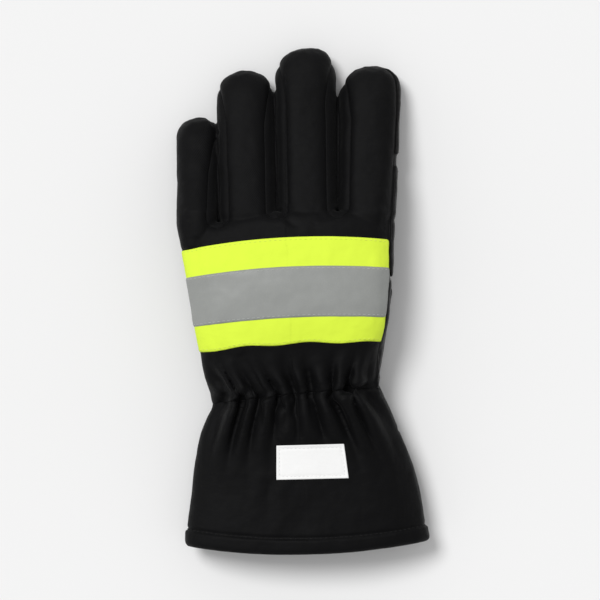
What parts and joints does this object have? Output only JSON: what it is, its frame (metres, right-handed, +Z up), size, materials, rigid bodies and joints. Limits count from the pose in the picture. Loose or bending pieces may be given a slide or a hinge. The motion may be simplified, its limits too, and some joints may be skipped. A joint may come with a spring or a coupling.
{
  "type": "firefighter glove",
  "caption": "Left-hand gauntlet glove of padded black fabric and leather, lying palm down with its thumb folded under, with a fluorescent and reflective band over the knuckles.",
  "frame": {"origin": "on the surface the glove lies on, under the middle of its bounding box", "axes": "+Y along the glove from the cuff to the fingertips, +X to the index finger's side, +Z up through the back of the hand"},
  "size_m": [0.1614, 0.325, 0.0587],
  "materials": {
    "black_fabric": "matt woven, padded",
    "black_leather": "matt, soft grain",
    "yellow_fabric": "fluorescent, woven",
    "silver_tape": "retroreflective, satin",
    "white_label": "matt, woven"
  },
  "bodies": {
    "root": {"hand_back": "black_fabric", "palm": "black_leather", "fourchette_ring_little": "black_fabric", "fourchette_middle_ring": "black_fabric", "fourchette_index_middle": "black_fabric", "thumb_outer": "black_leather", "thumb_inner": "black_leather", "cuff_back": "black_fabric", "cuff_palm": "black_leather", "band": "yellow_fabric", "reflective_strip": "silver_tape", "label": "white_label", "index_tip_patch": "black_leather", "palm_patch": "black_leather", "heel_patch": "black_leather"}
  },
  "joints": []
}
